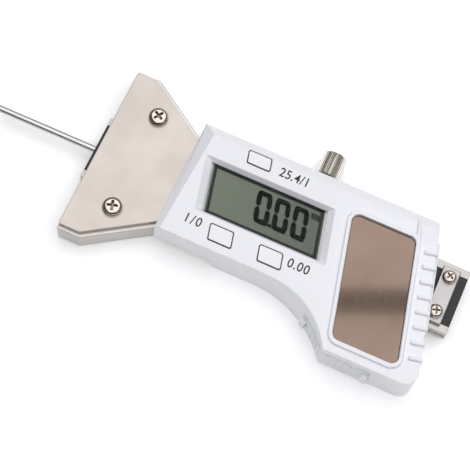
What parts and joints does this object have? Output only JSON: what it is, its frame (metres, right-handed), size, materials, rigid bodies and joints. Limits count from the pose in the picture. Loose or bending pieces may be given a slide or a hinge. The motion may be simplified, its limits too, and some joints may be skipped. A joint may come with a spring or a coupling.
{
  "type": "tire tread depth gauge",
  "caption": "Solar digital tread depth gauge: a wide metal foot and white display housing slide along a flat beam that carries a thin probe rod.",
  "frame": {"origin": "middle of the measuring face's lower edge, on the beam's centreline, in the plane the back rests on", "axes": "+X along the beam from the probe's tip towards the stop plate, +Y towards the lock screw, +Z out of the display"},
  "size_m": [0.1126, 0.0469, 0.0102],
  "materials": {
    "satin_nickel": "satin nickel plate, fine brushed",
    "frame_steel": "milled and bead-blasted stainless steel",
    "beam_steel": "ground stainless steel",
    "rod_steel": "bright drawn stainless rod",
    "knurled_nickel": "straight-knurled nickel-plated brass",
    "screw_nickel": "bright nickel-plated steel",
    "screw_black": "black-oxide steel",
    "brass": "machined brass",
    "white_plastic": "moulded white ABS, fine texture",
    "button_plastic": "moulded white ABS, smooth",
    "display_glass": "grey-green reflective liquid-crystal glass",
    "clear_window": "clear acrylic",
    "solar_glass": "amorphous silicon behind glass, brown",
    "black_film": "black polyester film",
    "board_laminate": "green glass-epoxy laminate",
    "black_resin": "black epoxy resin",
    "ceramic_brown": "brown ceramic chip bodies",
    "conductive_rubber": "layered conductive silicone",
    "capacitor_sleeve": "blue shrink sleeve",
    "tinned_wire": "tinned copper wire",
    "red_wire": "red insulated wire"
  },
  "bodies": {
    "root": {"foot_block": "satin_nickel", "foot_cover": "satin_nickel", "foot_screws": "screw_nickel", "slider_frame": "frame_steel", "frame_dowels": "frame_steel", "gib": "brass", "gib_screws": "screw_black", "housing": "white_plastic", "back_cover": "white_plastic", "housing_screws": "screw_black", "grip_insert": "white_plastic", "circuit_board": "board_laminate", "board_screws": "screw_nickel", "controller_blob": "black_resin", "surface_parts": "ceramic_brown", "key_switches": "black_resin", "zebra_strips": "conductive_rubber", "lcd_holder": "white_plastic", "lcd_glass": "display_glass", "lcd_window": "clear_window", "solar_cell": "solar_glass", "solar_leads": "red_wire", "storage_capacitor": "capacitor_sleeve", "capacitor_leads": "tinned_wire"},
    "beam": {"beam": "beam_steel", "scale_strip": "board_laminate", "scale_film": "black_film", "probe_rod": "rod_steel", "stop_plate": "satin_nickel", "stop_screws": "screw_nickel"},
    "lock_pad": {"lock_pad": "brass"},
    "lock_screw": {"lock_screw": "knurled_nickel"},
    "unit_button": {"unit_button": "button_plastic"},
    "power_button": {"power_button": "button_plastic"},
    "zero_button": {"zero_button": "button_plastic"}
  },
  "joints": [
    {"name": "beam_slide", "type": "slide", "parent": "root", "child": "beam", "axis": [1, 0, 0], "range_m": [0, 0.0254]},
    {"name": "pad_slide", "type": "slide", "parent": "root", "child": "lock_pad", "axis": [0, -1, 0], "range_m": [-0.00025, 0.000125]},
    {"name": "lock_turn", "type": "hinge", "parent": "lock_pad", "child": "lock_screw", "pos_m": [0.0491, 0.0159, 0.0033], "axis": [0, -1, 0], "range_deg": [-180, 90]},
    {"name": "unit_button_press", "type": "slide", "parent": "root", "child": "unit_button", "axis": [0, 0, -1], "range_m": [0, 0.0004], "stiffness_N_per_m": 2000},
    {"name": "power_button_press", "type": "slide", "parent": "root", "child": "power_button", "axis": [0, 0, -1], "range_m": [0, 0.0004], "stiffness_N_per_m": 2000},
    {"name": "zero_button_press", "type": "slide", "parent": "root", "child": "zero_button", "axis": [0, 0, -1], "range_m": [0, 0.0004], "stiffness_N_per_m": 2000}
  ],
  "couplings": [
    {"joint": "lock_turn", "follows": "pad_slide", "rad_per_m": 12566}
  ]
}
